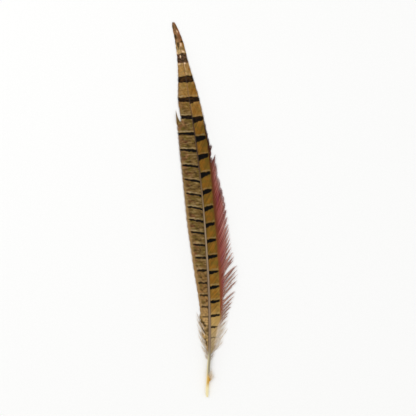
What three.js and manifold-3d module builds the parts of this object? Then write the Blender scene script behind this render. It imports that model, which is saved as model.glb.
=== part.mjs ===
// Pheasant tail feather, lying on a surface with its barred upper face up.
// Millimetres. +Y runs from the quill's end to the tip, +Z is up, and the wine-red fringe is on +X.
// While it is shaped, y is the distance from the quill's end and x the distance from the straight
// line between the quill's end and the tip. The finished feather is then moved to stand on z = 0
// with the middle of its box at x = 0, y = 0.

import * as THREE from "three";
import Module from "manifold-3d";

// Driving dimensions
const LENGTH = 278;
const VANE_START = 31;
const VANE_THICKNESS = 0.6;
const LOCKS_PER_VANE = 38;
const LOCK_RELIEF = 0.22;
const FLAT_MARGIN = 0.14;
const SHAFT_SIDES = 8;
const SHAFT_STEP = 9;

// The shaft bows towards the fringe, and its middle lies highest.
const shaftX = curveThrough([[0, 0.7], [22, 3.6], [55, 7.1], [88, 9], [143, 10], [187, 8.9],
  [220, 6.8], [242, 5.2], [264, 2.9], [LENGTH, 0.1]]);
const shaftHeight = curveThrough([[0, 1.2], [40, 3], [90, 5], [140, 5.8], [190, 5], [235, 2.8],
  [LENGTH, 0.5]]);
const shaftWidth = curveThrough([[0, 1.5], [3, 2.1], [14, 2.4], [40, 2], [90, 1.7], [150, 1.2],
  [210, 0.8], [LENGTH, 0.4]]);

// Each vane: how far the points of its locks reach from the shaft, how much shorter the valleys
// between them are, where the vane has come down to the surface, and how its barbs run:
// y = root + rise * distance + curl * distance^2.
// The broad vane is split at SPLIT_ROOT: the lock below the split stands off past the edge above.
const SPLIT_ROOT = 196;
const broadBelowSplit = curveThrough([[33, 2], [44, 5.4], [55, 8.6], [63, 7.4], [77, 8.5],
  [90, 10.1], [117, 12.5], [136, 13.5], [176, 13.4], [196, 12.6], [215, 11.4]]);
const broadAboveSplit = curveThrough([[209, 8.4], [216, 8.8], [222, 8.5], [235, 6.4], [249, 4.3],
  [262, 3], [275, 1.5], [LENGTH, 0.5]]);
const BROAD = {
  side: -1,
  points: (y, root) => (root < SPLIT_ROOT ? broadBelowSplit(y) : broadAboveSplit(y)),
  notch: linesThrough([[33, 0.8], [48, 3], [58, 2.4], [68, 0.5], [200, 0.5], [207, 2.8],
    [213, 0.4], [260, 0.35], [LENGTH, 0.1]]),
  settle: curveThrough([[33, 2.6], [44, 5.4], [55, 7], [77, 8.5], [117, 12], [176, 13],
    [196, 12], [209, 10.4], [222, 8.5], [235, 6.4], [249, 4.3], [262, 3], [LENGTH, 0.5]]),
  rise: curveThrough([[VANE_START, 1], [150, 1.1], [200, 1.4], [235, 2.2], [262, 4], [275, 6]]),
  curl: curveThrough([[VANE_START, 0.01], [90, 0.02]]),
};
const fringe = curveThrough([[31, 2.6], [37, 4.9], [44, 8.3], [57, 13.7], [70, 18.2], [93, 21.9],
  [110, 18.2], [143, 15.6], [165, 12.5], [176, 12.2], [185, 10.2], [198, 8.9], [222, 7.3],
  [249, 3.9], [262, 3.1], [275, 1.5], [LENGTH, 0.5]]);
const NARROW = {
  side: 1,
  points: (y) => fringe(y),
  notch: linesThrough([[31, 0.6], [57, 5], [66, 8], [93, 11.5], [106, 8], [120, 4.5], [143, 3],
    [170, 2.4], [185, 1], [195, 0.35], [LENGTH, 0.1]]),
  settle: curveThrough([[31, 2.6], [44, 6.5], [57, 10], [72, 14], [110, 15.5], [143, 14.5],
    [165, 12], [187, 9.5], [222, 7.3], [249, 3.9], [LENGTH, 0.5]]),
  rise: curveThrough([[VANE_START, 0.95], [75, 0.95], [110, 1.2], [170, 1.45], [210, 1.8],
    [240, 2.6], [262, 4], [275, 6]]),
  curl: curveThrough([[VANE_START, 0.005], [70, 0.006], [100, 0.03], [150, 0.035], [200, 0.02]]),
};

const FEATHER_MATERIAL = new THREE.MeshStandardMaterial({
  color: 0x7d5c34, roughness: 0.62, metalness: 0,
});

const { Manifold, Mesh: SolidMesh } = await loadSolids();

async function loadSolids() {
  const library = await Module();
  library.setup();
  return library;
}

// A value along y through the given [y, value] points, level beyond the ends: smooth, or in
// straight lines.
function curveThrough(points, Interpolant = THREE.CubicInterpolant) {
  const values = new Interpolant(points.map(([y]) => y), points.map(([, value]) => value), 1);
  return (y) => values.evaluate(y)[0];
}

function linesThrough(points) {
  return curveThrough(points, THREE.LinearInterpolant);
}

// Where a barb with its root at one y has got to, at a distance from the shaft.
function barbY(vane, root, distance) {
  const y = root + vane.rise(root) * distance + vane.curl(root) * distance ** 2;
  return Math.min(y, LENGTH);
}

// The distance at which a barb ends: 1 is a lock's point and 0 the valley between two locks.
function barbEnd(vane, root, pointed) {
  let distance = 0;
  for (let pass = 0; pass < 30; pass += 1) {
    const y = barbY(vane, root, distance);
    const end = vane.points(y, root) - (1 - pointed) * vane.notch(y);
    distance = 0.5 * (distance + Math.max(end, 0.1));
  }
  return distance;
}

// Height of a vane's underside at a distance from the shaft: level by the shaft, then down to a
// flat margin that lies on the surface.
function undersideHeight(vane, distance, y) {
  const fall = Math.min(distance / (vane.settle(y) * (1 - FLAT_MARGIN)), 1);
  const attached = Math.max(shaftHeight(y) - VANE_THICKNESS / 2, 0);
  return attached * (0.5 + 0.5 * Math.cos(Math.PI * fall));
}

// A point beside the shaft, on the vane's side and a lift above its underside.
function besideShaft(vane, distance, y, lift) {
  const z = undersideHeight(vane, distance, y) + lift;
  return new THREE.Vector3(shaftX(y) + vane.side * distance, y, z);
}

// A closed solid through a row of rings. Each ring runs out along one face and back along the
// other, so that its first and last points face each other.
function loft(rings) {
  const count = rings[0].length;
  const triangles = [];
  const quad = (a, b, c, d) => triangles.push(a, b, c, a, c, d);
  for (let ring = 0; ring < rings.length - 1; ring += 1) {
    for (let i = 0; i < count; i += 1) {
      const next = (i + 1) % count;
      const start = ring * count;
      quad(start + i, start + next, start + count + next, start + count + i);
    }
  }
  const last = (rings.length - 1) * count;
  for (let i = 0; i < count / 2 - 1; i += 1) {
    const facing = count - 1 - i;
    quad(i, facing, facing - 1, i + 1);
    quad(last + i, last + i + 1, last + facing - 1, last + facing);
  }
  return solidOf(rings.flat().flatMap((point) => point.toArray()), triangles);
}

// A solid from point coordinates and triangles, turned the right way out.
function solidOf(positions, triangles) {
  const corner = (index) => new THREE.Vector3().fromArray(positions, 3 * index);
  let volume = 0;
  for (let i = 0; i < triangles.length; i += 3) {
    const [a, b, c] = triangles.slice(i, i + 3).map(corner);
    volume += a.dot(b.cross(c));
  }
  if (volume < 0) {
    triangles.reverse();
  }
  return new Manifold(new SolidMesh({
    numProp: 3,
    vertProperties: new Float32Array(positions),
    triVerts: new Uint32Array(triangles),
  }));
}

// The quill and shaft, widest low on the quill and tapering to a hair at the tip.
function makeShaft() {
  const stations = [0, 1, 3, 8, 14, 20, 27];
  for (let y = 36; y < LENGTH - SHAFT_STEP / 2; y += SHAFT_STEP) {
    stations.push(y);
  }
  stations.push(LENGTH);
  return loft(stations.map((y) => {
    const radius = shaftWidth(y) / 2 / Math.cos(Math.PI / SHAFT_SIDES);
    const ring = [];
    for (let side = 0; side < SHAFT_SIDES; side += 1) {
      const angle = (2 * Math.PI * (side + 0.5)) / SHAFT_SIDES;
      const x = shaftX(y) + radius * Math.cos(angle);
      ring.push(new THREE.Vector3(x, y, shaftHeight(y) + radius * Math.sin(angle)));
    }
    return ring;
  }));
}

// Both vanes as one thin sheet, whose rows follow the barbs. Each lock has a valley row, a shoulder
// row and the row of its point; the valley lies a little lower on top.
function makeVanes() {
  const rows = [{ pointed: 0, relief: 1 }, { pointed: 0.55, relief: 0.2 }, { pointed: 1, relief: 0 }];
  const broadShares = [1, 0.86, 0.66, 0.44, 0.22];
  const narrowShares = [0.18, 0.36, 0.56, 0.76, 0.9, 1];
  const rings = [];
  for (let lock = 0; lock < LOCKS_PER_VANE; lock += 1) {
    rows.forEach(({ pointed, relief }, row) => {
      const share = (lock + row / rows.length) / LOCKS_PER_VANE;
      const root = THREE.MathUtils.lerp(VANE_START, LENGTH - 1, share);
      const top = [];
      const under = [];
      const add = (vane, distance, height) => {
        const y = barbY(vane, root, distance);
        top.push(besideShaft(vane, distance, y, height));
        under.unshift(besideShaft(vane, distance, y, 0));
      };
      const broadEnd = barbEnd(BROAD, root, pointed);
      const narrowEnd = barbEnd(NARROW, root, pointed);
      const height = VANE_THICKNESS - LOCK_RELIEF * relief;
      broadShares.forEach((part) => add(BROAD, broadEnd * part, height));
      add(NARROW, 0, VANE_THICKNESS);
      narrowShares.forEach((part) => add(NARROW, narrowEnd * part, height));
      rings.push([...top, ...under]);
    });
  }
  return loft(rings);
}

// A small pointed lock of down, from its root on the quill to its tip.
function makeDownLock(root, tip, width) {
  const steps = 4;
  const rings = [];
  for (let step = 0; step <= steps; step += 1) {
    const share = step / steps;
    const middle = new THREE.Vector3().lerpVectors(root, tip, share);
    const half = 0.5 * width * Math.max(1 - share ** 2, 0.06);
    const corner = (x, z) => middle.clone().add(new THREE.Vector3(x * half, 0, z * half));
    rings.push([corner(-1, 0), corner(0, 0.7), corner(1, 0), corner(0, -0.7)]);
  }
  return loft(rings);
}

// The tuft of down low on the quill.
function makeTuft() {
  const root = new THREE.Vector3(shaftX(11) + 0.6, 11, shaftHeight(11));
  return [[4.9, 15, 1.2], [5.9, 17, 0.6], [4.6, 18.5, 1.6]].map(
    ([x, y, z]) => makeDownLock(root, new THREE.Vector3(x, y, z), 1.1));
}

function makeFeather() {
  const solid = [makeVanes(), ...makeTuft()].reduce((whole, piece) => whole.add(piece), makeShaft());
  const { vertProperties, triVerts } = solid.getMesh();
  const geometry = new THREE.BufferGeometry();
  geometry.setAttribute("position", new THREE.BufferAttribute(vertProperties, 3));
  geometry.setIndex(new THREE.BufferAttribute(triVerts, 1));
  geometry.computeBoundingBox();
  const middle = geometry.boundingBox.getCenter(new THREE.Vector3());
  geometry.translate(-middle.x, -middle.y, -geometry.boundingBox.min.z);
  geometry.computeVertexNormals();
  const mesh = new THREE.Mesh(geometry, FEATHER_MATERIAL);
  mesh.name = "feather";
  return mesh;
}

const object = new THREE.Group();
object.add(makeFeather());

export default object;
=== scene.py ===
"""Pheasant tail feather: every barb, the shaft and the down, built around the feather's solid.

Shapes are worked out in millimetres, in the feather's own plan: y is the distance from the quill's
end, out the distance from the shaft, and x the distance from the straight line between the
quill's end and the tip. They turn into metres in the frame when a mesh is made.
"""
import math
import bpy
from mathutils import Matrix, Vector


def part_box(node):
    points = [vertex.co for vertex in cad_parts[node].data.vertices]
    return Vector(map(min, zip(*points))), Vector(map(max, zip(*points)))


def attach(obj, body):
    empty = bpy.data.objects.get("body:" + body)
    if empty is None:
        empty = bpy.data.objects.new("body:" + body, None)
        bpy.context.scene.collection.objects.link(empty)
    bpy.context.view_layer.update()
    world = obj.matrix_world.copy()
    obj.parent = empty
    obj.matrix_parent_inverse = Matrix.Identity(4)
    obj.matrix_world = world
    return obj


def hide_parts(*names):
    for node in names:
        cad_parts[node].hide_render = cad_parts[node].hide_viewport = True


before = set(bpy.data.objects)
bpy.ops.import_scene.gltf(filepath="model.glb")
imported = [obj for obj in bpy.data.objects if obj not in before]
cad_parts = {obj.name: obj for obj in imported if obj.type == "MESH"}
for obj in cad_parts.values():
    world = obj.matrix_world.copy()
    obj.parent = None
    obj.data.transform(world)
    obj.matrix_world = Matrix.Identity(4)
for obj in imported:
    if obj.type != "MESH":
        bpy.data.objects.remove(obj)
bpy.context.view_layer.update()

from types import SimpleNamespace

import bpy
import numpy as np
from bpy.props import FloatProperty, FloatVectorProperty, IntProperty, PointerProperty
from mathutils import Vector

bl_info = {
    "name": "Pheasant tail feather",
    "version": (1, 0, 0),
    "blender": (4, 5, 0),
    "location": "View3D > Sidebar > Feather",
    "description": "Builds a barred pheasant tail feather barb by barb",
    "category": "Add Mesh",
}

MM = 0.001
NODE = "feather"
BODY = "root"
BOX_LOW, BOX_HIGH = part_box(NODE)
LENGTH = (BOX_HIGH.y - BOX_LOW.y) / MM
BROAD_PAST_LINE = 4.22
LINE_X = BOX_LOW.x / MM + BROAD_PAST_LINE
QUILL_END_Y = BOX_LOW.y / MM


def srgb(code):
    """Linear colour of an sRGB hex value such as #8a4a40."""
    parts = [int(code[i:i + 2], 16) / 255 for i in (1, 3, 5)]
    return [p / 12.92 if p <= 0.04045 else ((p + 0.055) / 1.055) ** 2.4 for p in parts]


# Plan of the feather


def curve(*points):
    """A smooth value along y through (y, value) points, level beyond the ends."""
    at, value = np.array(points, float).T
    slope = np.gradient(value, at)
    slope[1:-1] = (value[2:] - value[:-2]) / (at[2:] - at[:-2])

    def evaluate(y):
        y = np.clip(y, at[0], at[-1])
        i = np.clip(np.searchsorted(at, y) - 1, 0, len(at) - 2)
        step = at[i + 1] - at[i]
        s = (y - at[i]) / step
        rise = value[i + 1] - value[i]
        bend = step * (slope[i] + slope[i + 1]) - 2 * rise
        return value[i] + s * (step * slope[i] + s * (rise - step * slope[i] - (1 - s) * bend))

    return evaluate


def lines(*points):
    """A value along y in straight lines through (y, value) points, level beyond the ends."""
    at, value = np.array(points, float).T
    return lambda y: np.interp(y, at, value)


def level(value):
    """The same value all along y."""
    return lambda y: np.full(np.shape(y), float(value))


def smooth(value, low, high):
    """0 below low, 1 above high, and a smooth step between."""
    s = np.clip((value - low) / (high - low), 0, 1)
    return s * s * (3 - 2 * s)


VANE_START = 31
LOCK_ROOT = 184.5
SPLIT_ROOT = 190.5
VANE_THICKNESS = 0.6
FLAT_MARGIN = 0.14
BARB_LIFT = 0.28
BARB_KEEL = 0.16
EDGE_REACH = 0.3

# The least height of the middle of a thread above the surface
LOWEST_BARB = 0.12
LOWEST_HAIR = 0.05
LOWEST_DOWN = 0.1
LOWEST_TUFT = 0.15

shaft_x = curve(
    (0, 0.4), (6, 0.9), (13, 2), (22, 3.3), (33, 4.95), (55, 7.1), (88, 9), (143, 10), (187, 8.9),
    (220, 6.8), (242, 5.2), (264, 2.9), (LENGTH, 0.1))
shaft_height = curve((0, 1.2), (40, 3), (90, 5), (140, 5.8), (190, 5), (235, 2.8), (LENGTH, 0.5))
shaft_width = curve(
    (0, 1.5), (3, 2.1), (14, 2.4), (40, 2), (90, 1.7), (150, 1.2), (210, 0.8), (LENGTH, 0.4))
broad_below_split = curve(
    (33, 2), (44, 5.4), (55, 8.6), (63, 7.4), (77, 8.5), (90, 10.1), (117, 12.5), (136, 13.5),
    (176, 13.4), (196, 12.6), (215, 11.4))
broad_above_split = curve(
    (203, 9.4), (209, 8.6), (216, 8.8), (222, 8.5), (235, 6.4), (249, 4.3), (262, 3.1), (275, 1.9),
    (LENGTH, 0.9))
fringe = curve(
    (31, 2.6), (37, 4.9), (44, 8.3), (57, 13.7), (70, 18.2), (93, 21.9), (110, 18.2), (143, 15.6),
    (165, 12.5), (176, 12.2), (185, 10.3), (198, 9.05), (222, 7.3), (249, 3.9), (262, 3.1),
    (275, 1.6), (LENGTH, 0.8))
ochre_edge = curve(
    (31, 3), (44, 5.2), (50, 6), (56, 7.8), (66, 8), (99, 8), (143, 7.6), (165, 8), (187, 8.2),
    (200, 7.8), (210, 9), (LENGTH, 20))

# Cream flecks and dark patches before the tip, then dark strokes and two cream flecks at the broad
# vane's foot: x, y, half width, half height and strength, which is below zero for a dark one.
FLECKS = ((2, 270.6, 0.6, 1.8, 1.3), (3.9, 261, 0.9, 1.2, 1.9), (5.4, 255.7, 1, 1, 1.1),
          (0.8, 255.4, 0.6, 1.2, 1), (3.1, 252.3, 0.6, 1.7, 1), (1.7, 246.8, 1.3, 0.7, 1),
          (5.7, 246.8, 1.1, 0.8, 1.1), (-0.2, 275.5, 0.8, 4, -0.7), (0.6, 268.3, 0.7, 2.3, -0.7),
          (0.6, 264.6, 0.7, 1.4, -0.8), (2.1, 261, 0.8, 1.7, -1.8), (4.7, 263.4, 0.8, 1, -1.2),
          (4.4, 254, 0.9, 0.8, -1), (1.5, 57, 0.5, 1.3, -0.7), (2.4, 54.8, 0.6, 1.4, -0.9),
          (3.4, 52.6, 0.6, 1.3, -0.9), (1.4, 50, 0.5, 1.2, -0.6), (2.4, 48.4, 0.6, 1.2, -0.8),
          (3.4, 46.9, 0.6, 1.2, -0.7), (2.6, 42.1, 0.5, 1.2, -0.7), (3.2, 40.3, 0.5, 1.3, -0.9),
          (3.6, 38.5, 0.4, 1.2, -0.9), (1.2, 52.3, 0.5, 0.9, 0.5), (2.5, 50.7, 0.6, 0.8, 0.5))

# The dark bars are counted from the tip, and their values are worked out at these counts. A bar is
# at its bar_y at BAR_LEVEL_OUT, and rises by its bar_rise from the shaft to BAR_RISE_OUT.
BAR_COUNT = np.arange(-1, 21, 0.05)
BAR_RISE_OUT = 12
BAR_LEVEL_OUT = 3.85

# A barb is hooked to its neighbours for at most LAST_HOOKED of its length. Past that part it comes
# free over PARTING, and its end has gone GATHER_END of the way to the middle of its lock or strand.
LAST_HOOKED = 0.93
PARTING = 3
GATHER_END = 0.93

# What each vane is made from. Curves and lines run along y.
# side: -1 left of the shaft, 1 right of it
# points, notch: how far out the locks of barbs reach, and how far the valleys between them lie back
# settle: how far out the vane comes down to the surface
# rise, curl: a barb's y grows by rise for each mm out, and by curl for the square of it
# hooked: how far out the barbs hold to their neighbours
# sharp: how a lock narrows to its point: straight at 1, blunt below it, slender above it
# together, gather, hold: whether free barbs draw to the middle of their lock or to strands in it,
# how much of the way they go at first, and whether they do so at all
# flare: how far free barbs bow towards the tip
# tips, lock_width: y of the locks' points, and the width of the locks above these
# bar_y, bar_rise, bar_half, bar_ink: place, rise, half thickness and darkness of a bar, by its count
# bar_taper, bar_stop: how much a bar thins on its way out, and how far out it ends
# down: seed of its draws, rise and curl of its threads as for barbs, their greatest lengths at three
# places, their width in thread widths, and how much darker the lowest of them are

BROAD = SimpleNamespace(
    side=-1,
    points=lambda y, root: edge_reach(y) + np.where(
        root < SPLIT_ROOT, broad_below_split(y), broad_above_split(y)),
    notch=lines((33, 0.8), (48, 1.4), (58, 0.9), (66, 0.3), (200, 0.2), (260, 0.3), (LENGTH, 0.1)),
    settle=curve(
        (33, 2.6), (44, 5.4), (55, 7), (77, 8.5), (117, 12), (176, 13), (196, 12), (209, 10.4),
        (222, 8.5), (235, 6.4), (249, 4.3), (262, 3), (LENGTH, 0.5)),
    rise=curve((VANE_START, 1), (150, 1.1), (200, 1.4), (235, 2.2), (262, 4), (275, 6)),
    curl=curve((VANE_START, 0.01), (90, 0.02)),
    hooked=lines((31, 1.5), (44, 4), (55, 6.2), (62, 6.6), (68, 20)),
    sharp=level(0.6),
    together=level(0.8),
    gather=lines((31, 0.8), (LENGTH, 0.93)),
    hold=level(1),
    flare=level(0),
    tips=(39, 47, 55, 61),
    lock_width=4.6,
    bar_y=curve(
        (-1, 268), (0, 250.8), (2, 220.1), (4, 194.6), (6, 170.5), (9, 139.3), (12, 112.2),
        (15, 84.3), (17, 66.6), (19, 52.8), (21, 41)),
    bar_rise=lines(
        (0, 0.6), (1, 0.8), (2, 1.6), (4, 1.6), (5, 2.2), (7, 3.2), (10, 3.2), (12, 1.6), (14, 0.6),
        (20, 0.4)),
    bar_half=lines(
        (0, 3.3), (1, 2.2), (2, 1.7), (3, 1.3), (4, 1), (6, 0.85), (8, 0.75), (13, 0.8), (20, 0.8)),
    bar_ink=lines(
        (-0.5, 0), (-0.45, 0.92), (0.5, 0.93), (1, 1), (9, 1), (14, 0.94), (17, 0.8), (19, 0.35),
        (20, 0.1)),
    bar_taper=0.35,
    down=SimpleNamespace(seed=3, rise=0.85, curl=0.085, lengths=(3, 10.5, 11), width=1.9, dark_roots=0),
    bar_stop=lambda y: broad_below_split(y) - np.interp(
        y, (58, 63, 67, 75, 85, 95, 110, 125, 150, 180, 200),
        (2.6, 2.2, 1.2, 1.2, 1.5, 2.4, 2.8, 1.9, 1.7, 0.9, -1)),
)
NARROW = SimpleNamespace(
    side=1,
    points=lambda y, root: edge_reach(y) + fringe(y) + np.interp(
        y, (105, 115, 160, 174, 178.6, 181, 184.8, 188),
        (0, 0.4, 0.2, 0.3, 1.2, 0, 1, 0)),
    notch=lines(
        (31, 0.6), (57, 4), (66, 6), (93, 7), (106, 5), (114, 3), (120, 2), (143, 0.6), (171, 0.5),
        (174, 3), (181, 3), (184, 1.6), (188, 0.5), (195, 0.3), (LENGTH, 0.1)),
    settle=curve(
        (31, 2.6), (44, 6.5), (57, 10), (72, 14), (110, 15.5), (143, 14.5), (165, 12), (187, 9.5),
        (222, 7.3), (249, 3.9), (LENGTH, 0.5)),
    rise=curve(
        (VANE_START, 0.95), (75, 0.95), (110, 1.2), (170, 1.45), (210, 1.8), (240, 2.6), (262, 4),
        (275, 6)),
    curl=curve((VANE_START, 0.005), (70, 0.006), (100, 0.03), (150, 0.035), (200, 0.02)),
    hooked=lines(
        (31, 1.5), (44, 4.6), (55, 7.2), (66, 8.4), (77, 9.4), (88, 10.4), (97, 11.8), (107, 13.4),
        (121, 13.2), (132, 14.2), (143, 15), (154, 13.6), (166, 12), (171, 9), (180, 8.6),
        (187, 10.4), (198, 9.4), (222, 7.6), (240, 20)),
    sharp=lines((31, 0.6), (149, 0.6), (150, 0.2), (154.6, 0.2), (155, 4), (162, 4), (165, 0.8)),
    together=lines((31, 0.9), (108, 0.95), (122, 0.6), (150, 0.5), (165, 0.8)),
    gather=lines(
        (31, 0.9), (48, 0.9), (57, 0.72), (80, 0.72), (86, 0.45), (98, 0.4), (114, 0.75),
        (130, 0.93)),
    hold=lines((138, 1), (142, 0.1), (154, 0.1), (156, 1)),
    flare=lines((31, 0.4), (60, 1.2), (102, 1.2), (112, 0)),
    tips=(37, 43, 49.7, 54.7, 59.5, 62.5, 65.8, 69.3, 72.8, 77.5, 84.1, 88.5, 92.2, 95.4, 102.3,
          105, 109, 112.5, 115.7, 119, 122.5, 126, 131, 136, 141.4, 145.6, 151, 158, 168, 178.6,
          184.8),
    lock_width=6.5,
    bar_y=curve(
        (-1, 268), (0, 250.8), (3, 204.8), (6, 163.9), (9, 126.8), (12, 91.7), (14, 70), (15, 59.7),
        (16, 51.2), (17, 43.5), (21, 15)),
    bar_rise=lines(
        (0, 0.3), (2, 1.4), (3, 2.6), (7, 3), (9, 2.2), (10, 1.2), (12, 0.9), (14, 0.2), (21, 0)),
    bar_half=lines(
        (0, 3.4), (1, 2.3), (3, 2.1), (5, 1.9), (7, 1.7), (9, 1.5), (12, 1.25), (15, 1.05), (17, 0.7),
        (18, 0.6)),
    bar_ink=lines(
        (-0.5, 0), (-0.45, 0.86), (0.3, 0.9), (1, 1), (14, 1), (16, 0.92), (17, 0.6), (18, 0.2),
        (19, 0)),
    bar_taper=0.5,
    down=SimpleNamespace(seed=4, rise=0.7, curl=0.03, lengths=(3, 15, 16), width=1.2, dark_roots=0.9),
    bar_stop=lambda y: ochre_edge(y) - 0.1,
)


def edge_reach(y):
    """How far the soft edge of a vane reaches past its solid."""
    return EDGE_REACH * smooth(y, 60, 80) * smooth(y, 240, 215)


def barb_y(vane, root, out):
    """Where the barb with this root has got to, at a distance from the shaft."""
    return np.minimum(root + vane.rise(root) * out + vane.curl(root) * out**2, LENGTH)


def barb_end(vane, root, pointed):
    """The distance at which a barb ends: 1 is a lock's point, 0 the valley between two locks."""
    out = np.zeros_like(root)
    rounds = 30
    for _ in range(rounds):
        y = barb_y(vane, root, out)
        end = vane.points(y, root) - (1 - pointed) * vane.notch(y)
        out = 0.5 * (out + np.maximum(end, 0.1))
    return out


def underside(vane, out, y):
    """Height of the vane's underside: level by the shaft, then down to a flat margin."""
    fall = np.minimum(np.abs(out) / (vane.settle(y) * (1 - FLAT_MARGIN)), 1)
    attached = np.maximum(shaft_height(y) - VANE_THICKNESS / 2, 0)
    return attached * (0.5 + 0.5 * np.cos(np.pi * fall))


# Meshes


def new_object(name, data):
    """An object in the scene."""
    made = bpy.data.objects.new(name, data)
    bpy.context.scene.collection.objects.link(made)
    return made


def mesh_object(name, points, faces, values, uv):
    """A closed mesh from points in mm in the feather's plan, with values at its points."""
    mesh = bpy.data.meshes.new(name)
    places = (points + (LINE_X, QUILL_END_Y, 0)) * MM
    mesh.from_pydata(places.tolist(), [], faces)
    for key, value in values.items():
        mesh.attributes.new(key, "FLOAT", "POINT").data.foreach_set("value", value.ravel())
    layer = mesh.uv_layers.new(name="OFBake")
    layer.data.foreach_set("uv", uv.astype(np.float32).ravel())
    mesh.shade_smooth()
    return new_object(name, mesh)


# Part of the bake layout that one side of a piece fills. The undersides of barbs lie beside it.
BAKE_PART = (0.46, 0.96)
BAKE_MARGIN = 0.02
BAKE_UNDERSIDE = 0.5
UPWARD = np.array((0.0, 0.0, 1.0))


def strands(name, path, half, ridge, keel, values, tilt=0):
    """One mesh of many closed barbs. path is (barb, step, xyz); half width, ridge height, keel depth,
    sideways tilt and values are (barb, step), or spread to it. Each barb starts and ends in one
    point."""
    count, steps, _ = path.shape
    shape = (count, steps)
    half, ridge, keel, tilt = (np.broadcast_to(v, shape) for v in (half, ridge, keel, tilt))
    along = np.gradient(path, axis=1)
    along /= np.linalg.norm(along, axis=2, keepdims=True) + 1e-9
    side = np.cross(along, UPWARD)
    side /= np.linalg.norm(side, axis=2, keepdims=True) + 1e-9
    up = np.cross(side, along)
    side = side + tilt[..., None] * UPWARD
    ring = np.stack([path - half[..., None] * side, path + ridge[..., None] * up,
                     path + half[..., None] * side, path - keel[..., None] * up], axis=2)
    inner = ring[:, 1:-1]
    points = np.concatenate([path[:, :1], inner.reshape(count, -1, 3), path[:, -1:]], axis=1)
    size = points.shape[1]
    faces = []
    last = 4 * (steps - 3) + 1
    for k in range(4):
        n = (k + 1) % 4
        faces.append(((0, 1 + n, 1 + k), k))
        for j in range(1, last, 4):
            faces.append(((j + k, j + n, j + 4 + n, j + 4 + k), k))
        faces.append(((last + k, last + n, size - 1), k))
    all_faces = [tuple(base + i for i in face) for base in range(0, count * size, size)
                 for face, _ in faces]
    flat = points.reshape(-1, 3)
    plan = flat[:, :2]
    low, high = plan.min(0), plan.max(0)
    place = (plan - low) / (high - low) * BAKE_PART + BAKE_MARGIN
    corners = np.concatenate([np.array(face) for face, _ in faces])
    under = np.concatenate([np.full(len(face), BAKE_UNDERSIDE * (k > 1)) for face, k in faces])
    index = (np.arange(count)[:, None] * size + corners).ravel()
    uv = place[index]
    uv[:, 0] += np.tile(under, count)
    spread = {}
    for key, value in values.items():
        value = np.broadcast_to(value, shape)
        middle = np.repeat(value[:, 1:-1], 4, axis=1)
        spread[key] = np.concatenate([value[:, :1], middle, value[:, -1:]], axis=1)
    return mesh_object(name, flat, all_faces, spread, uv)


def dressed(piece, material):
    """Gives a piece its material and its place in the frame."""
    piece.data.materials.append(material)
    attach(piece, BODY)
    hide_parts(NODE)


# Barbs


def locks_of(vane, roots, rng):
    """For each root: the number of its lock, the lead root of that lock, the middle root of its
    strand in the lock, and how near it is to the lead, 1 at it."""
    ends = barb_y(vane, roots, barb_end(vane, roots, 1.0))
    leads = [np.interp(tip, ends, roots) for tip in vane.tips]
    while leads[-1] < LENGTH:
        leads.append(leads[-1] + vane.lock_width * rng.uniform(0.7, 1.3))
    leads = np.array(leads)
    behind = 0.4
    edges = leads[:-1] * behind + leads[1:] * (1 - behind)
    lock = np.searchsorted(edges, roots)
    low = np.concatenate([[2 * leads[0] - edges[0]], edges])[lock]
    high = np.concatenate([edges, [LENGTH + 5]])[lock]
    lead = leads[lock]
    width = np.where(roots < lead, lead - low, high - lead)
    near = 1 - np.clip(np.abs(roots - lead) / width, 0, 1)
    new_strand_share = 0.28
    strand = np.cumsum(rng.random(len(roots)) < new_strand_share) + 1000 * lock
    _, place = np.unique(strand, return_inverse=True)
    middle = (np.bincount(place, roots) / np.bincount(place))[place]
    return lock, lead, middle, near


def bar_values(vane, out, y):
    """Values that the barbs' material reads to draw the bars: the count, its pitch, the bar's half
    thickness and its darkness."""
    at = vane.bar_y(BAR_COUNT)
    plain = np.interp(-y, -at, BAR_COUNT)
    bend = 0.9
    slant = (out / BAR_RISE_OUT) ** bend - (BAR_LEVEL_OUT / BAR_RISE_OUT) ** bend
    count = np.interp(vane.bar_rise(plain) * slant - y, -at, BAR_COUNT)
    pitch = np.interp(count, BAR_COUNT, -np.gradient(at, BAR_COUNT))
    stop = vane.bar_stop(y)
    taper = 1 + 0.35 * vane.bar_taper - vane.bar_taper * np.clip(out / stop, 0, 1)
    ends = smooth(out, stop + 0.5, stop - 0.7)
    return count, pitch, vane.bar_half(count) * taper * (0.4 + 0.6 * ends), vane.bar_ink(count) * ends


def bent(t, start, bend, end):
    """A value that runs from start to end with t, drawn towards bend on its way."""
    return (1 - t) ** 2 * start + 2 * t * (1 - t) * bend + t**2 * end


def split_lock(root, share):
    """The barbs just below the split follow the vane, then turn up along its edge and make one
    narrow lock: their distance in the pattern, their distance, their y and how free they are."""
    rank = (root - LOCK_ROOT) / (SPLIT_ROOT - LOCK_ROOT)
    turn = 0.7
    turn_out = 12.2 - 2.4 * rank
    before = turn_out * np.minimum(share / turn, 1)
    turn_y = barb_y(BROAD, root, turn_out)
    end_out = 12 - 0.8 * rank
    end_y = 205.5 + 8.7 * rank
    bend_y = turn_y + 0.3 * (end_y - turn_y)
    t = np.clip((share - turn) / (1 - turn), 0, 1)
    reach = np.where(t > 0, bent(t, turn_out, end_out, end_out), before)
    y = np.where(t > 0, bent(t, turn_y, bend_y, end_y), barb_y(BROAD, root, before))
    return before + t, reach, y, smooth(t, 0, 0.3)


def flecks_at(x, y):
    """Sum of the flecks' strengths at places in the plan."""
    total = np.zeros_like(x)
    for at_x, at_y, wide, high, strength in FLECKS:
        total += strength * np.exp(-((x - at_x) / wide) ** 2 - ((y - at_y) / high) ** 2)
    return total


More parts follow.
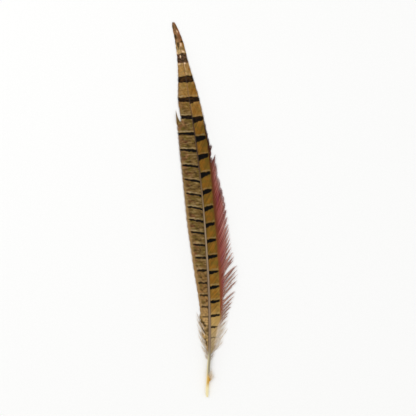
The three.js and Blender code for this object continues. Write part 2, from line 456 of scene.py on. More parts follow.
def vane_barbs(vane, spacing, steps, seed, ridge_height):
    """Paths, section sizes and values of all barbs of one vane."""
    rng = np.random.default_rng(seed)
    roots = np.arange(VANE_START, LENGTH - 1, spacing)
    count = len(roots)
    roots = roots + rng.uniform(-0.08, 0.08, count) * spacing
    lock, lead, middle, near = locks_of(vane, roots, rng)
    pointed = np.clip(near ** vane.sharp(roots) + rng.normal(0, 0.05, count), 0, 1.04)
    ends = barb_end(vane, roots, pointed)
    share = np.linspace(0, 1, steps)
    out = ends[:, None] * share ** 0.95
    root = roots[:, None]
    y = barb_y(vane, root, out)
    plan_y = y.copy()

    hooked = np.minimum(vane.hooked(y), LAST_HOOKED * ends[:, None])
    free = smooth(out, hooked, hooked + PARTING)
    together = vane.together(y)
    aim = together * lead[:, None] + (1 - together) * middle[:, None]
    past = np.clip((out - hooked) / np.maximum(ends[:, None] - hooked, 0.5), 0, 1)
    gather = vane.gather(plan_y)
    gather = gather + (GATHER_END - gather) * past**2
    y = y + vane.hold(root) * gather * free * (aim - root)
    y = y + 4 * vane.flare(plan_y) * past * (1 - past)
    y = y + vane.hold(root) * free * rng.normal(0, 0.25, count)[:, None]
    stray_share = 0.04
    stray = (rng.random(count) < stray_share) * rng.normal(0, 1.3, count)
    y = y + free * past * stray[:, None]
    reach = out.copy()
    if vane is BROAD:
        own = (roots > LOCK_ROOT) & (roots < SPLIT_ROOT)
        out[own], reach[own], y[own], free[own] = split_lock(root[own], share)
        plan_y[own] = barb_y(vane, root[own], out[own])
    y = np.minimum(y, LENGTH)

    lifts = rng.uniform(0, 1, lock.max() + 1)[lock][:, None]
    wave_height = 0.16
    wave = wave_height * np.sin(y / 7.3 + 1.1) * np.sin(y / 3.1) * smooth(out, 1, 6)
    z = underside(vane, reach, y) + BARB_LIFT + wave + 0.12 * lifts * smooth(out, 1, 5)
    z = z + free * (0.25 + 1.1 * lifts * smooth(out, 8, 18) + 0.3 * rng.random(count)[:, None])
    path = np.stack([shaft_x(y) + vane.side * reach, y, np.maximum(z, LOWEST_BARB)], axis=2)

    slope = vane.rise(root) + 2 * vane.curl(root) * out
    gap = spacing * (barb_y(vane, root + 0.5, out) - barb_y(vane, root - 0.5, out))
    steep = np.sqrt(1 + slope**2)
    hooked_half = 0.68 * np.maximum(gap, 0.4 * spacing) / steep
    free_half = 0.17 + 0.09 * smooth(plan_y, 112, 100)
    half = hooked_half * (1 - free) + free_half * free
    half = half * (1 - 0.7 * smooth(share, 0.8, 1) * smooth(plan_y, 265, 240))
    step = 0.3
    step_out = step * vane.side * slope / steep
    step_y = step * vane.side / steep
    tilt = (underside(vane, out + step_out, y - step_y)
            - underside(vane, out - step_out, y + step_y)) / (2 * step)
    ridge = ridge_height * (1 - 0.4 * free)
    keel = BARB_KEEL * (1 - 0.5 * free)

    bar, pitch, bar_half, ink = bar_values(vane, out, plan_y)
    values = {
        "along": plan_y,
        "out": out,
        "root": root,
        "bar": bar + rng.normal(0, 0.1, count)[:, None] / pitch,
        "pitch": pitch,
        "half": bar_half,
        "ink": ink,
        "barb": rng.random(count)[:, None],
        "edge": ends[:, None] - out,
        "wine": out - ochre_edge(plan_y) + rng.normal(0, 0.15, count)[:, None],
        "free": free,
        "fleck": flecks_at(shaft_x(plan_y) + vane.side * out, plan_y),
    }
    values = {key: np.broadcast_to(value, y.shape) for key, value in values.items()}
    return {"path": path, "half": half, "ridge": ridge, "keel": keel, "values": values,
            "tilt": tilt * (1 - free)}


def fluff_on(barbs, spacing, length, seed):
    """Fine hairs on both sides of the free ends of a vane's barbs, as short strands."""
    rng = np.random.default_rng(seed)
    starts, directions, lengths, alongs = [], [], [], []
    last_fluffy_y = 200
    first_free = 0.12
    ahead = 0.4
    hair_angle = math.radians(34)
    shorter_at_end = 0.6
    for i, path in enumerate(barbs["path"]):
        if path[-1, 1] > last_fluffy_y:
            continue
        walked = np.concatenate([[0], np.cumsum(np.linalg.norm(np.diff(path, axis=0), axis=1))])
        begin = np.interp(first_free, barbs["values"]["free"][i], walked)
        at = np.arange(begin, walked[-1] - 0.2, spacing)
        at = at + rng.uniform(-0.3, 0.3, len(at)) * spacing
        back, place, front = (
            np.stack([np.interp(at + move, walked, axis) for axis in path.T], axis=1)
            for move in (-ahead, 0, ahead))
        along = front - back
        along /= np.linalg.norm(along, axis=1, keepdims=True) + 1e-9
        for sign in (-1, 1):
            angle = sign * rng.normal(hair_angle, 0.16, len(at))
            turned = np.stack([along[:, 0] * np.cos(angle) - along[:, 1] * np.sin(angle),
                               along[:, 0] * np.sin(angle) + along[:, 1] * np.cos(angle),
                               along[:, 2] + rng.normal(0, 0.16, len(at))], axis=1)
            starts.append(place)
            directions.append(turned)
            left = 1 - shorter_at_end * (at - begin) / (walked[-1] - begin)
            lengths.append(length * left * rng.uniform(0.6, 1.15, len(at)))
            step = np.interp(at, walked, np.arange(len(path))).astype(int)
            alongs.append(barbs["values"]["along"][i, step])
    start, direction, reach = (np.concatenate(part) for part in (starts, directions, lengths))
    share = np.array([0, 0.45, 1])
    path = start[:, None] + direction[:, None] * reach[:, None, None] * share[:, None]
    path[..., 2] = np.maximum(path[..., 2], LOWEST_HAIR)
    return path, {"along": np.concatenate(alongs)[:, None]}


def shaft_mesh():
    """The quill and shaft, with the values of the bars that cross it."""
    sides = 20
    y = np.concatenate([[0, 0.15, 0.4, 0.8, 1.4, 2.2], np.arange(3.2, LENGTH - 1, 1.4),
                        [LENGTH - 0.4]])
    angle = 2 * np.pi * (np.arange(sides) + 0.5) / sides
    squareness = 2 + 1.2 * smooth(y, 18, 40)[:, None]
    wide, high = np.abs(np.cos(angle)), np.abs(np.sin(angle))
    reach = (wide**squareness + high**squareness) ** (-1 / squareness)
    radius = 0.5 * shaft_width(y)[:, None] * np.ones(sides)
    rounding = np.array([0.45, 0.75, 0.9, 0.97])
    radius[:len(rounding)] *= rounding[:, None]
    x = radius * reach * np.cos(angle)
    z = radius * reach * np.sin(angle)
    groove_depth, groove_width = 0.3, 0.35
    groove = groove_depth * smooth(y, 24, 46)[:, None] * radius
    groove = groove * np.exp(-(x / (groove_width * radius)) ** 2)
    z = z + np.where(z < 0, groove, 0)
    rings = np.stack([shaft_x(y)[:, None] + x, y[:, None] + 0 * x,
                      shaft_height(y)[:, None] + z], axis=2)
    dimple_depth = 0.5
    foot = [[shaft_x(0), dimple_depth, shaft_height(0)]]
    top = [[shaft_x(LENGTH), LENGTH, shaft_height(LENGTH)]]
    points = np.concatenate([foot, rings.reshape(-1, 3), top])
    faces, uv = [], []
    last = 1 + (len(y) - 1) * sides
    edge = 0.01
    level_at = edge + (1 - 2 * edge) * y / LENGTH
    for i in range(sides):
        n = (i + 1) % sides
        left, right = i / sides, (i + 1) / sides
        faces.append((0, 1 + i, 1 + n))
        uv += [(left, 0), (left, edge), (right, edge)]
        for j in range(len(y) - 1):
            a = 1 + j * sides
            b = a + sides
            low, up = level_at[j], level_at[j + 1]
            faces.append((a + i, b + i, b + n, a + n))
            uv += [(left, low), (left, up), (right, up), (right, low)]
        faces.append((last + i, len(points) - 1, last + n))
        uv += [(left, 1 - edge), (left, 1), (right, 1 - edge)]
    across = np.tile(np.cos(angle), len(y))
    at = np.repeat(y, sides)
    values = {"along": at, "across": across}
    for vane, here in ((BROAD, across < 0), (NARROW, across >= 0)):
        found = zip(("bar", "pitch", "half", "ink"), bar_values(vane, np.zeros_like(at), at))
        for key, value in found:
            values[key] = np.where(here, value, values.get(key, value))
    values = {key: np.concatenate([value[:1], value, value[-1:]]) for key, value in values.items()}
    return mesh_object("shaft", points, faces, values, np.array(uv))


def down_strands(name, path, half, values):
    """Threads of down, somewhat flatter than they are wide."""
    return strands(name, path, half, 0.6 * half, 0.6 * half, values)


def vane_down(name, vane, count, thickness):
    """Threads of down at the foot of one vane, in wisps."""
    down = vane.down
    rng = np.random.default_rng(down.seed)
    wisps = 14
    wisp = np.arange(count) % wisps
    lowest, highest = 27, 46
    roots = np.linspace(lowest, highest, wisps) + rng.normal(0, 0.5, wisps)
    most = np.interp(roots, (lowest, 33, highest), down.lengths) * rng.uniform(0.7, 1.0, wisps)
    curls = down.curl * rng.uniform(0.4, 1.6, wisps)
    share = np.linspace(0, 1, 14)
    out = (most[wisp] * rng.uniform(0.6, 1.0, count))[:, None] * share ** 0.9
    spread = rng.normal(0, 0.5, count)[:, None] * (0.3 + share)
    sway = rng.normal(0, 0.35, count)[:, None]
    sway = sway * np.sin(share * rng.uniform(3, 7, count)[:, None])
    y = roots[wisp, None] + down.rise * out + curls[wisp, None] * out**2 + spread + sway
    z = 0.25 + underside(vane, out, y) * rng.uniform(0.15, 0.75, count)[:, None]
    z = z + share**2 * rng.uniform(0, 1.8, count)[:, None]
    path = np.stack([shaft_x(y) + vane.side * (out + 0.25), y, np.maximum(z, LOWEST_DOWN)], axis=2)
    half = down.width * thickness * (1 - 0.5 * share)
    shade = rng.random(count) * (1 - down.dark_roots * smooth(roots[wisp], 34, 28))
    return down_strands(name, path, half, {"barb": shade[:, None], "share": share})


def quill_tuft(count, thickness):
    """Threads of down on the right side of the quill."""
    seed = 9
    rng = np.random.default_rng(seed)
    share = np.linspace(0, 1, 10)
    angle = rng.normal(math.radians(52), 0.26, count)[:, None]
    length = rng.uniform(3, 8.5, count)[:, None]
    turn = rng.normal(0.55, 0.35, count)[:, None] * share**2
    root_y = 11.6 + rng.uniform(-0.6, 2.4, count)[:, None]
    x = shaft_x(root_y) + 0.8 + length * share * np.cos(angle + turn)
    y = root_y + length * share * np.sin(angle + turn)
    z = shaft_height(root_y) + share * rng.normal(0.4, 1.0, count)[:, None]
    path = np.stack([x, y, np.maximum(z, LOWEST_TUFT)], axis=2)
    half = 1.3 * thickness * (1 - 0.6 * share)
    return down_strands("quill_tuft", path, half, {"share": share})


# Materials


KERATIN_IOR = 1.55
BARB_VALUES = ("along", "out", "root", "bar", "pitch", "half", "ink", "barb", "edge", "wine", "free",
               "fleck")


def add(tree, kind, *inputs, named=None, **settings):
    """Adds a node with its settings, and its inputs in order or by name: a value or a socket.
    Returns its first output in use."""
    node = tree.nodes.new("ShaderNode" + kind)
    for key, value in settings.items():
        setattr(node, key, value)
    shown = [socket for socket in node.inputs if socket.enabled]
    pairs = list(zip(shown, inputs))
    pairs += [(next(s for s in shown if s.name == key), v) for key, v in (named or {}).items()]
    for socket, value in pairs:
        if isinstance(value, bpy.types.NodeSocket):
            tree.links.new(value, socket)
            continue
        if socket.type == "RGBA" and len(value) == 3:
            value = (*value, 1)
        socket.default_value = value
    return next(socket for socket in node.outputs if socket.enabled)


def new_material(name, *values):
    """A material without nodes, its tree, and sockets of the values that it reads at a piece's points."""
    material = bpy.data.materials.new(name)
    material.use_nodes = True
    tree = material.node_tree
    tree.nodes.clear()
    return material, tree, SimpleNamespace(**{
        key: add(tree, "Attribute", attribute_name=key).node.outputs["Fac"] for key in values})


def finish_material(tree, colour, roughness, shine=0.2, **others):
    """Surface with this colour, roughness and specular level, and other inputs by their names."""
    named = {"Base Color": colour, "Roughness": roughness, "Specular IOR Level": shine, **others}
    surface = add(tree, "BsdfPrincipled", named=named)
    output = tree.nodes.new("ShaderNodeOutputMaterial")
    tree.links.new(surface, output.inputs["Surface"])


def finish_barbs(tree, v, colour, ink):
    """Surface of the hooked barbs: nearly matt, smoother on the dark bars, with the fine grain of
    the barbules, drawn at 0.25 mm because the real 0.03 mm is too fine to show."""
    grain = vane_noise(tree, v.out, 0.25, v.along, 0.25)
    relief = add(tree, "Bump", named={"Strength": 0.5, "Distance": 0.05 * MM, "Height": grain})
    roughness = product(tree, (ink, 0, 1, 0.62, 0.5))
    finish_material(tree, colour, roughness, 0.07, IOR=KERATIN_IOR, Normal=relief)


def colours_along(tree, along, *bands):
    """Colour along the feather. Each band is a colour and the places where it is pure, in mm from
    the quill's end."""
    share = add(tree, "Math", along, 1 / LENGTH, operation="MULTIPLY")
    colour = add(tree, "ValToRGB", share)
    elements = colour.node.color_ramp.elements
    stops = [(y / LENGTH, band) for band, *places in bands for y in places]
    for i, (place, band) in enumerate(stops):
        element = elements[i] if i < 2 else elements.new(place)
        element.position = place
        element.color = (*band, 1)
    return colour


def apart(tree, first, second):
    """How far two values are apart."""
    difference = add(tree, "Math", first, second, operation="SUBTRACT")
    return add(tree, "Math", difference, operation="ABSOLUTE")


def product(tree, *factors):
    """Product of the factors: numbers, sockets, or a tuple of a value, a start and an end, which goes
    softly from 0 to 1 while the value runs from start to end, or between two more numbers in it."""
    result = None
    for factor in factors:
        if isinstance(factor, tuple):
            factor = add(tree, "MapRange", *factor, interpolation_type="SMOOTHSTEP")
        if result is not None:
            factor = add(tree, "Math", result, factor, operation="MULTIPLY")
        result = factor
    return result


def layered(tree, colour, *layers):
    """The colour with others over it, one after another. Each layer is a colour and the factors of
    its share, as product takes them."""
    for over, *factors in layers:
        colour = add(tree, "Mix", product(tree, *factors), colour, over, data_type="RGBA")
    return colour


def vane_noise(tree, first, first_size, second, second_size, detail=2, layer=0):
    """Noise whose cells have these sizes along two of the values that a piece carries. Each layer is
    another noise."""
    place = add(tree, "CombineXYZ", product(tree, first, 1 / first_size),
                product(tree, second, 1 / second_size), layer)
    return add(tree, "TexNoise", named={"Vector": place, "Scale": 1, "Detail": detail})


def past_bar(tree, v):
    """How far a place lies from the middle of the nearest bar, in mm, below zero on its tipward side."""
    nearest = add(tree, "Math", v.bar, operation="ROUND")
    return product(tree, add(tree, "Math", v.bar, nearest, operation="SUBTRACT"), v.pitch)


def barred(tree, v, base, colours, *pale_share):
    """The base colour with its dark bars and the pale line on their tipward side, and where the bars
    are. Towards the tip they are worn to brown in places."""
    wobble = product(tree, (vane_noise(tree, v.out, 2.4, v.along, 2), 0.3, 0.7, -0.28, 0.28))
    past = add(tree, "Math", past_bar(tree, v), wobble, operation="ADD")
    inside = add(tree, "Math", v.half, apart(tree, past, 0), operation="SUBTRACT")
    mask = product(tree, (inside, -0.16, 0.2), v.ink)
    line_past_edge = 0.75
    above = apart(tree, add(tree, "Math", past, v.half, operation="ADD"), -line_past_edge)
    broken = (vane_noise(tree, v.out, 3.5, v.along, 3.5), 0.35, 0.6, 0.35, 1)
    worn = vane_noise(tree, v.out, 2, v.along, 1.2, 1, 7)
    dark = layered(
        tree, colours.black,
        (colours.stroke, (worn, 0.4, 0.65, 0.2, 1), (v.along, 190, 235, 0, 0.75)),
        (colours.band_brown, (worn, 0.42, 0.58), (v.along, 238, 248, 0, 0.9)))
    pale = (colours.pale_line, (above, 0.8, 0.15), v.ink, broken, *pale_share)
    return layered(tree, base, pale, (dark, mask)), mask


def streaked(tree, v, colour, spread):
    """The colour lighter or darker from barb to barb, and in streaks of some barbs together."""
    together = vane_noise(tree, v.root, 1.5, v.out, 9)
    light = product(tree, (v.barb, 0, 1, 1 - 0.7 * spread, 1 + 0.7 * spread),
                    (together, 0.3, 0.7, 1 - spread, 1 + spread))
    return add(tree, "VectorMath", colour, light, operation="SCALE")


def flecked(tree, v, colour, colours):
    """The colour with its single flecks: cream and dark ones before the tip, dark strokes and two
    cream ones at the foot. Those before the tip are broken up by a noise."""
    cloud = vane_noise(tree, v.out, 1.8, v.along, 3.2, 1, 3)
    uneven = product(tree, (cloud, 0.35, 0.65, -0.35, 0.35), (v.along, 250, 256))
    spot = add(tree, "Math", v.fleck, uneven, operation="ADD")
    return layered(tree, colour, (colours.scribble_dark, (spot, -0.1, -0.75, 0, 0.9)),
                   (colours.cream, (spot, 0.25, 0.9, 0, 0.95)))


def olive_keratin(colours):
    """Keratin barbs of the broad vane: a silky, nearly matt weave of hooked barbules, olive-brown
    with wavy dark and pale scribbles between thin black bars."""
    material, tree, v = new_material("olive_barb_keratin", *BARB_VALUES)
    base = colours_along(
        tree, v.along, (colours.base_gold, 0, 50), (colours.warm_olive, 70),
        (colours.olive, 104, 206), (colours.bright_olive, 216), (colours.gold, 230, 244),
        (colours.tip_gold, 250, 259), (colours.tip_brown, 265, LENGTH))
    cloud = vane_noise(tree, v.out, 4.5, v.along, 4)
    cell = add(tree, "Math", v.bar, operation="FRACT")
    wobble = product(tree, (vane_noise(tree, v.out, 3.5, v.along, 4), 0.3, 0.7, -0.2, 0.2))
    middle = apart(tree, add(tree, "Math", cell, wobble, operation="ADD"), 0.5)
    middle = product(tree, middle, v.pitch)
    broken = vane_noise(tree, v.out, 2.4, v.along, 6)
    scribble = vane_noise(tree, v.out, 4.6, v.along, 1.5)
    stroke = vane_noise(tree, v.root, 2.3, v.out, 9, 1)
    low = (v.along, 60, 52)
    base = layered(
        tree, base,
        (colours.green_olive, (cloud, 0.5, 0.36, 0, 0.6)),
        (colours.rust, (cloud, 0.48, 0.62, 0, 0.75), (v.out, 4, 8)),
        (colours.scribble_dark, (middle, 1.1, 0.35, 0, 0.7), (broken, 0.4, 0.52), (v.along, 225, 205)),
        (colours.scribble_dark, (scribble, 0.5, 0.38, 0, 0.4)),
        (colours.scribble_pale, (scribble, 0.52, 0.66, 0, 0.5)),
        (colours.stroke, low, (stroke, 0.46, 0.4, 0, 0.3), (v.free, 0.35, 0.05), (v.edge, 1, 3.5)),
        (colours.stroke, low, (v.out, 2.4, 0.8, 0, 0.3)))
    base = layered(
        tree, streaked(tree, v, base, 0.16),
        (colours.rim_gold, (v.edge, 3.9, 0.9, 0, 0.85), (v.along, 54, 66), (v.along, 180, 130, 0.35, 1)),
        (colours.down_pale, (v.free, 0.05, 0.8, 0, 0.75), (v.along, 66, 58)))
    colour, ink = barred(tree, v, base, colours, (v.out, 1.5, 7, 0.3, 0.95))
    finish_barbs(tree, v, flecked(tree, v, colour, colours), ink)
    return material


def ochre_keratin(colours):
    """Keratin barbs of the narrow vane: silky warm ochre between bold black bars, then past an
    orange-brown line the barbs come unhooked and turn to soft wine-red ends."""
    material, tree, v = new_material("ochre_and_wine_barb_keratin", *BARB_VALUES)
    base = colours_along(
        tree, v.along, (colours.base_tan, 0, 42), (colours.pale_ochre, 54), (colours.ochre_light, 70),
        (colours.ochre, 106, 198), (colours.gold_brown, 214), (colours.gold, 230),
        (colours.tip_gold, 240, 259), (colours.tip_brown, 265, LENGTH))
    cell = add(tree, "Math", v.bar, operation="FRACT")
    cloud = vane_noise(tree, v.out, 3.6, v.along, 4)
    above_foot = (v.along, 56, 70)
    base = layered(
        tree, base,
        (colours.green_olive, (cloud, 0.54, 0.4, 0, 0.6), above_foot),
        (colours.ochre_glow, (cloud, 0.3, 0.65, 0.2, 0.9), (apart(tree, cell, 0.5), 0.45, 0.15),
         (apart(tree, v.out, 3.6), 4, 1.5), above_foot))
    base, ink = barred(tree, v, streaked(tree, v, base, 0.19), colours, 0.35)
    base = flecked(tree, v, base, colours)

    streak = add(tree, "Math", vane_noise(tree, v.root, 1.1, v.out, 9), v.barb, operation="ADD")
    shade = product(tree, (streak, 0.64, 1.38))
    cool = vane_noise(tree, v.root, 5, v.out, 4)
    margin = (v.along, 164, 182, 0, 0.9)
    wine = layered(
        tree, colours.wine_dark,
        (colours.wine_light, shade),
        (colours.wine_lilac, (cool, 0.5, 0.62, 0, 0.6)),
        (colours.wine_pale, (v.edge, 4, 0.5, 0, 0.75), shade),
        (colours.wine_pale, (v.along, 142, 120, 0, 0.8), (v.edge, 6.5, 1.5), (streak, 0.6, 1.3, 0.3, 1)),
        (colours.wine_pale, (v.along, 102, 86, 0, 0.85), (v.free, 0.2, 0.9), (streak, 0.7, 1.2)),
        (colours.mauve_brown, (v.along, 108, 84, 0, 0.8), (v.edge, 10, 3)),
        (colours.mauve_brown, (v.along, 72, 58, 0, 0.5)),
        (colours.down_pale, (v.along, 56, 48, 0, 0.9)),
        (colours.mauve_brown, (v.root, 37, 32, 0, 0.75)),
        (colours.wine_edge, margin))
    line = layered(tree, colours.red_brown, (colours.orange_brown, (v.along, 100, 130)),
                   (colours.wine_edge, margin))
    past_line = add(tree, "Math", v.wine, product(tree, (v.along, 62, 54, 0, 1.8)), operation="ADD")
    colour = layered(tree, base, (line, (v.wine, -0.5, 0.4), (v.along, 54, 62)),
                     (wine, (past_line, 0.4, 3.2)))
    finish_barbs(tree, v, colour, ink)
    return material


def barbule_keratin(colours):
    """Barbules of the free ends: hairs too fine to see one by one, a pale pinkish haze. They are
    drawn three times as thick as real ones, so that the render shows them."""
    material, tree, v = new_material("fringe_barbule_keratin", "along")
    colour = colours_along(
        tree, v.along, (colours.down_pale, 30, 50), (colours.fluff_pink, 64, 90),
        (colours.wine_pale, 112), (colours.wine_light, 140), (colours.wine_dark, LENGTH))
    finish_material(tree, colour, 0.8, IOR=KERATIN_IOR)
    return material


def down_keratin(colours):
    """Down: barbs with no hooks, so fine that they look like a soft grey-tan haze."""
    material, tree, v = new_material("soft_down_keratin", "barb", "share")
    colour = layered(
        tree, colours.down_brown, (colours.down_pale, v.barb),
        (colours.down_pale, (v.share, 0.1, 0.6, 0, 0.85), (v.barb, 0, 0.4, 0.2, 1)))
    finish_material(tree, colour, 0.85, IOR=KERATIN_IOR)
    return material


def tuft_keratin(colours):
    """Down on the quill: golden at its root, then the same pale haze as the other down."""
    material, tree, v = new_material("tuft_down_keratin", "share")
    colour = layered(tree, colours.tuft_root, (colours.down_pale, (v.share, 0.2, 0.6)))
    finish_material(tree, colour, 0.85, IOR=KERATIN_IOR)
    return material


def horn_keratin(colours):
    """Shaft: solid horn-like keratin, smooth and slightly glossy, clear gold at the bare quill, whose
    left flank carries a painted highlight, and grey-brown with fine lengthwise streaks above it and
    darker sides, partly painted shade and partly the rachis's own darker edges."""
    material, tree, v = new_material("shaft_horn_keratin", "along", "across", "bar", "pitch", "half",
                                     "ink")
    colour = colours_along(
        tree, v.along, (colours.quill_pale, 0, 7), (colours.quill_gold, 11, 15),
        (colours.shaft_grey, 18, 29), (colours.shaft_brown, 38, 80), (colours.shaft_pale, 105, 125),
        (colours.shaft_tan, 150), (colours.stroke, 168, 205), (colours.warm_olive, 222, 242),
        (colours.tip_brown, LENGTH))
    streak = vane_noise(tree, v.across, 0.12, v.along, 9, 3)
    light = product(tree, (streak, 0.3, 0.7, 0.85, 1.12))
    colour = add(tree, "VectorMath", colour, light, operation="SCALE")
    side = apart(tree, v.across, 0.1)
    inside = add(tree, "Math", v.half, apart(tree, past_bar(tree, v), 0), operation="SUBTRACT")
    colour = layered(
        tree, colour,
        # Painted highlight: the quill's left flank is drawn paler, as if lit from the left.
        (colours.quill_pale, (v.across, 0, -0.8, 0, 0.75), (v.along, 36, 28)),
        # Darker sides of the shaft low between the vanes: partly painted shade on the rod's flanks,
        # partly the rachis's own darker edges where the barbs start.
        (colours.shaft_side, (side, 0.25, 0.85, 0, 0.85), (v.along, 26, 44)),
        (colours.black, (inside, -0.2, 0.2), v.ink, (v.along, 160, 185, 0, 0.9)))
    relief = add(tree, "Bump", named={"Strength": 0.3, "Distance": 0.06 * MM, "Height": streak})
    roughness = product(tree, (v.along, 15, 180, 0.3, 0.7))
    finish_material(tree, colour, roughness, 0.3, IOR=KERATIN_IOR, Normal=relief)
    return material


def photo_paper(colours):
    """Floor: matt white board."""
    material, tree, _ = new_material("matt_white_board")
    place = add(tree, "TexCoord").node.outputs["Object"]
    grain = add(tree, "TexNoise", named={"Vector": place, "Scale": 900, "Detail": 2})
    shade = product(tree, (grain, 0.3, 0.7, 0.985, 1))
    colour = add(tree, "VectorMath", colours.board, shade, operation="SCALE")
    finish_material(tree, colour, 0.9)
    return material


# Settings that a user may change


def size_setting(name, description, default, least, most):
    """Length setting, from values in mm."""
    return FloatProperty(name=name, description=description, default=default * MM,
                         min=least * MM, max=most * MM, unit="LENGTH")


class FeatherSizes(bpy.types.PropertyGroup):
    """Sizes of the feather's small parts."""

    barb_spacing: size_setting(
        "Barb spacing", "Distance along the shaft from one barb to the next", 0.45, 0.2, 2)
    barb_ridge: size_setting("Barb ridge", "Height of the ridge along each barb", 0.1, 0, 0.5)
    fluff_spacing: size_setting(
        "Fluff spacing", "Distance between the fine hairs on a free barb", 0.42, 0.1, 2)
    fluff_length: size_setting("Fluff length", "Length of the fine hairs on a free barb", 0.85, 0, 3)
    down_thickness: size_setting("Down thickness", "Width of one thread of down", 0.07, 0.02, 0.5)
    down_threads: IntProperty(
        name="Down threads", description="Threads of down on each side of the shaft", default=84,
        min=0, max=600)


COLOURS = (
    ("olive", "#745a2f", "Broad vane between its bars"),
    ("warm_olive", "#9a7240", "Broad vane low down"),
    ("bright_olive", "#876431", "Broad vane above its split"),
    ("green_olive", "#66561c", "Greener clouds on both vanes"),
    ("scribble_dark", "#3c2a12", "Dark scribbles on the broad vane"),
    ("scribble_pale", "#a58a5c", "Pale scribbles on the broad vane"),
    ("pale_line", "#b39d73", "Line on the tipward side of each bar"),
    ("rust", "#7d4c30", "Reddish clouds on the broad vane's outer half"),
    ("rim_gold", "#b89562", "Thin line along the broad vane's edge"),
    ("gold", "#ae8443", "Both vanes near the tip"),
    ("gold_brown", "#b0864a", "Narrow vane in its upper part"),
    ("ochre", "#74551d", "Narrow vane between its bars"),
    ("ochre_glow", "#8e5f1b", "Warm middle of the narrow vane's cells"),
    ("ochre_light", "#a07a38", "Narrow vane low down"),
    ("pale_ochre", "#bf9d5f", "Narrow vane near its foot"),
    ("base_gold", "#cdaa71", "Foot of the broad vane"),
    ("base_tan", "#b59d74", "Foot of the narrow vane"),
    ("stroke", "#523412", "Dark strokes at the foot and the tip"),
    ("tip_gold", "#d4b47d", "Gold before the tip"),
    ("tip_brown", "#9a6844", "The tip"),
    ("band_brown", "#6b4636", "Redder parts of the last dark bar"),
    ("cream", "#ebcba4", "Flecks before the tip"),
    ("black", "#070402", "The bars"),
    ("orange_brown", "#6b3a1f", "Line between ochre and wine, high up"),
    ("red_brown", "#88492c", "Line between ochre and wine, low down"),
    ("wine_light", "#a2584c", "Lighter barbs of the fringe"),
    ("wine_dark", "#6b2a25", "Darker barbs of the fringe"),
    ("wine_lilac", "#8d4450", "Cooler clouds of the fringe"),
    ("wine_pale", "#c99a8b", "Free ends of the fringe"),
    ("wine_edge", "#3d2015", "Dark margin above the fringe"),
    ("mauve_brown", "#9d7868", "Lowest barbs of the fringe"),
    ("fluff_pink", "#ebcfc2", "Fine hairs on the fringe's lower strands"),
    ("down_brown", "#ad957c", "Darker down"),
    ("down_pale", "#eee0cb", "Paler down"),
    ("tuft_root", "#d9a93e", "Root of the tuft on the quill"),
    # Pale end of the quill, also used for the painted highlight on the quill's left flank
    ("quill_pale", "#f1e2b0", "End of the quill"),
    ("quill_gold", "#cfa03c", "Upper part of the bare quill"),
    ("shaft_grey", "#968c6f", "Shaft just above the quill"),
    ("shaft_brown", "#8a7259", "Shaft low between the vanes"),
    ("shaft_pale", "#957e60", "Shaft in the middle of the feather"),
    ("shaft_tan", "#7d6340", "Shaft above the middle"),
    # Sides of the lower shaft: partly painted shade on its flanks, partly its own darker edges
    ("shaft_side", "#4f3c26", "Sides of the shaft where the barbs start"),
    ("board", "#fafaf9", "Surface below the feather"),
)


class FeatherColours(bpy.types.PropertyGroup):
    """Colours of the feather and of the board below it."""

    __annotations__ = {
        key: FloatVectorProperty(
            name=key.replace("_", " ").capitalize(), description=use, default=srgb(code), min=0,
            max=1, size=3, subtype="COLOR")
        for key, code, use in COLOURS}


# Operators


class AddShaft(bpy.types.Operator):
    """Adds the quill and shaft: round and bare at the foot, then squarer, grooved below and tapering"""

    bl_idname = "feather.add_shaft"
    bl_label = "Add shaft"

    def execute(self, context):
        dressed(shaft_mesh(), horn_keratin(context.scene.feather_colours))
        return {"FINISHED"}


def add_vane(context, name, vane, keratin, steps, seed):
    """Adds one vane whose barbs have this many steps, and returns the barbs."""
    sizes = context.scene.feather_sizes
    barbs = vane_barbs(vane, sizes.barb_spacing / MM, steps, seed, sizes.barb_ridge / MM)
    piece = strands(name, **barbs)
    dressed(piece, keratin(context.scene.feather_colours))
    return barbs


class AddBroadVane(bpy.types.Operator):
    """Adds the broad vane, barb by barb, with the lock that stands off its edge"""

    bl_idname = "feather.add_broad_vane"
    bl_label = "Add broad vane"

    def execute(self, context):
        add_vane(context, "broad_vane", BROAD, olive_keratin, steps=18, seed=11)
        return {"FINISHED"}


class AddNarrowVane(bpy.types.Operator):
    """Adds the narrow vane, whose barbs run on into the red fringe, and the fluff on the free ends"""

    bl_idname = "feather.add_narrow_vane"
    bl_label = "Add narrow vane and fringe"

    def execute(self, context):
        barbs = add_vane(context, "narrow_vane", NARROW, ochre_keratin, steps=26, seed=23)
        sizes = context.scene.feather_sizes
        path, values = fluff_on(barbs, sizes.fluff_spacing / MM, sizes.fluff_length / MM, seed=5)
        fluff = strands("fringe_fluff", path, half=0.045, ridge=0.02, keel=0.02, values=values)
        dressed(fluff, barbule_keratin(context.scene.feather_colours))
        return {"FINISHED"}


class AddDown(bpy.types.Operator):
    """Adds the down at the foot of both vanes and the small tuft on the quill"""

    bl_idname = "feather.add_down"
    bl_label = "Add down"

    def execute(self, context):
        sizes = context.scene.feather_sizes
        colours = context.scene.feather_colours
        count, thickness = sizes.down_threads, sizes.down_thickness / MM
        material = down_keratin(colours)
        dressed(vane_down("broad_down", BROAD, count, thickness), material)
        dressed(vane_down("narrow_down", NARROW, count, thickness), material)
        dressed(quill_tuft(count, thickness), tuft_keratin(colours))
        return {"FINISHED"}


# Stage, in metres, with the lens in mm and each lamp's name, place, width and power in watts
BOARD_HALF = 3
BOARD_GAP = 0.05 * MM
SKY_STRENGTH = 0.86
LAMPS = (("key", (-0.55, 0.45, 1.1), 0.6, 3), ("fill", (0.8, -0.3, 0.9), 0.9, 0.7))
LENS = 85
VIEW_WIDTH = 0.3075
LEAN = math.radians(5.11)


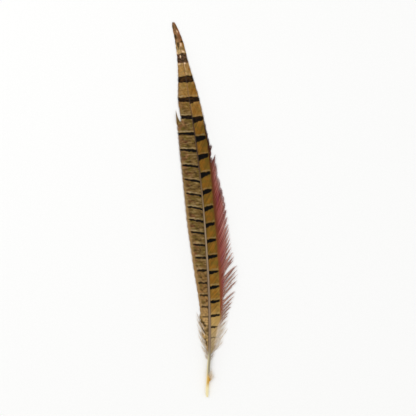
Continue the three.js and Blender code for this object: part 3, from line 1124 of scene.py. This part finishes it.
class AddStage(bpy.types.Operator):
    """Adds the white board, the soft lights and the camera that looks straight down"""

    bl_idname = "feather.add_stage"
    bl_label = "Add stage"

    def execute(self, context):
        scene = context.scene
        mesh = bpy.data.meshes.new("board")
        size = BOARD_HALF
        corners = [(-size, -size, 0), (size, -size, 0), (size, size, 0), (-size, size, 0)]
        mesh.from_pydata(corners, [], [(0, 1, 2, 3)])
        mesh.materials.append(photo_paper(scene.feather_colours))
        board = new_object("board", mesh)
        board.location.z = -BOARD_GAP

        world = bpy.data.worlds.new("studio")
        scene.world = world
        world.use_nodes = True
        sky = world.node_tree.nodes["Background"].inputs
        sky["Color"].default_value = (1, 1, 1, 1)
        sky["Strength"].default_value = SKY_STRENGTH
        for name, place, width, power in LAMPS:
            light = bpy.data.lights.new(name, "AREA")
            light.shape = "SQUARE"
            light.size = width
            light.energy = power
            lamp = new_object(name, light)
            lamp.location = place
            lamp.rotation_euler = (-Vector(place)).to_track_quat("-Z", "Y").to_euler()

        camera_data = bpy.data.cameras.new("camera")
        camera_data.lens = LENS
        camera = new_object("camera", camera_data)
        camera.location.z = VIEW_WIDTH / 2 / math.tan(camera_data.angle / 2)
        camera.rotation_euler.z = -LEAN
        scene.camera = camera
        scene.view_settings.view_transform = "Standard"
        return {"FINISHED"}


class FeatherPanel(bpy.types.Panel):
    """Lists the feather's pieces and settings"""

    bl_idname = "VIEW3D_PT_feather"
    bl_label = "Pheasant tail feather"
    bl_space_type = "VIEW_3D"
    bl_region_type = "UI"
    bl_category = "Feather"

    def draw(self, context):
        for settings in (context.scene.feather_sizes, context.scene.feather_colours):
            for key in settings.bl_rna.properties.keys():
                if key not in ("rna_type", "name"):
                    self.layout.prop(settings, key)
        for operator in OPERATORS:
            self.layout.operator(operator.bl_idname)


OPERATORS = (AddShaft, AddBroadVane, AddNarrowVane, AddDown, AddStage)
CLASSES = (FeatherSizes, FeatherColours, *OPERATORS, FeatherPanel)


def register():
    for cls in CLASSES:
        bpy.utils.register_class(cls)
    bpy.types.Scene.feather_sizes = PointerProperty(type=FeatherSizes)
    bpy.types.Scene.feather_colours = PointerProperty(type=FeatherColours)


def unregister():
    del bpy.types.Scene.feather_colours
    del bpy.types.Scene.feather_sizes
    for cls in reversed(CLASSES):
        bpy.utils.unregister_class(cls)


def main():
    register()
    bpy.ops.feather.add_shaft()
    bpy.ops.feather.add_broad_vane()
    bpy.ops.feather.add_narrow_vane()
    bpy.ops.feather.add_down()
    bpy.ops.feather.add_stage()


if __name__ == "__main__":
    main()
